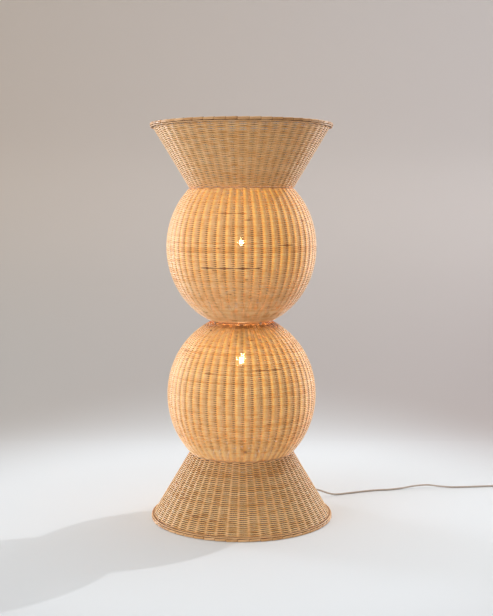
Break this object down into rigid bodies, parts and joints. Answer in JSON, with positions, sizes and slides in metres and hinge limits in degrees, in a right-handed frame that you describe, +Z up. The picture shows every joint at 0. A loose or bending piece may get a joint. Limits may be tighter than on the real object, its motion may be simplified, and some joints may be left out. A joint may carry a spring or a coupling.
{
  "type": "floor lamp",
  "caption": "Woven cane floor lamp: flared skirt, two globes and an open funnel on one axis, with bulbs inside, a steel frame, a foot switch and a plug.",
  "frame": {"origin": "centre of the base on the floor", "axes": "+Z up along the stacked sections' axis, front towards -Y, +X to the right as seen from the front"},
  "size_m": [1.2415, 0.5848, 1.15],
  "materials": {
    "cane": "woven natural cane, matt, honey coloured",
    "frame_steel": "satin lacquered steel wire, pale sand",
    "plated_steel": "zinc plated",
    "brass": "pressed brass",
    "holder_moulding": "dark phenolic moulding",
    "ceramic": "glazed insulating block",
    "bulb_glass": "clear blown glass",
    "filament": "phosphor coated filament sticks, lit",
    "flex": "braided textile sleeve, greige",
    "switch_moulding": "satin moulded plastic, pale greige",
    "rubber": "soft moulded rubber",
    "strap": "nylon strap"
  },
  "bodies": {
    "lamp": {"base_border": "cane", "base_ring": "frame_steel", "coil_tie": "strap", "exit_sleeve": "rubber", "funnel_weave": "cane", "inside_lead": "flex", "lead_clip_1": "strap", "lead_clip_2": "strap", "lead_clip_3": "strap", "lead_clip_4": "strap", "lead_coil": "flex", "lead_to_coil": "flex", "lead_to_plug": "flex", "lead_to_switch": "flex", "lower_contact_block": "ceramic", "lower_globe_foot_weave": "cane", "lower_globe_crown_weave": "cane", "lower_holder_body": "holder_moulding", "lower_holder_cap": "holder_moulding", "lower_hub_nut": "plated_steel", "lower_neck_ring": "frame_steel", "lower_screw_shell": "brass", "plug_body": "switch_moulding", "plug_pin_1": "plated_steel", "plug_pin_2": "plated_steel", "plug_relief": "rubber", "skirt_weave": "cane", "stem_tube": "plated_steel", "switch_core": "ceramic", "switch_cover": "switch_moulding", "switch_relief_1": "rubber", "switch_relief_2": "rubber", "switch_screw_1": "plated_steel", "switch_screw_2": "plated_steel", "switch_tray": "switch_moulding", "top_border": "cane", "top_ring": "frame_steel", "upper_contact_block": "ceramic", "upper_globe_foot_weave": "cane", "upper_globe_crown_weave": "cane", "upper_holder_body": "holder_moulding", "upper_holder_cap": "holder_moulding", "upper_hub_nut": "plated_steel", "upper_neck_ring": "frame_steel", "upper_screw_shell": "brass", "upright_1": "frame_steel", "upright_2": "frame_steel", "upright_3": "frame_steel", "upright_4": "frame_steel", "waist_ring": "frame_steel", "waist_spider": "frame_steel"},
    "foot_button": {"switch_button": "switch_moulding"},
    "lower_bulb": {"lower_bulb_cap": "plated_steel", "lower_bulb_filament": "filament", "lower_bulb_glass": "bulb_glass", "lower_bulb_stem": "bulb_glass"},
    "upper_bulb": {"upper_bulb_cap": "plated_steel", "upper_bulb_filament": "filament", "upper_bulb_glass": "bulb_glass", "upper_bulb_stem": "bulb_glass"}
  },
  "joints": [
    {"name": "button_press", "type": "slide", "parent": "lamp", "child": "foot_button", "axis": [0, 0, -1], "range_m": [0, 0.003], "stiffness_N_per_m": 500},
    {"name": "lower_bulb_turn", "type": "hinge", "parent": "lamp", "child": "lower_bulb", "pos_m": [0, 0, 0.467], "axis": [0, 0, 1], "range_deg": [0, 180]},
    {"name": "upper_bulb_turn", "type": "hinge", "parent": "lamp", "child": "upper_bulb", "pos_m": [0, 0, 0.81], "axis": [0, 0, -1], "range_deg": [0, 180]}
  ]
}
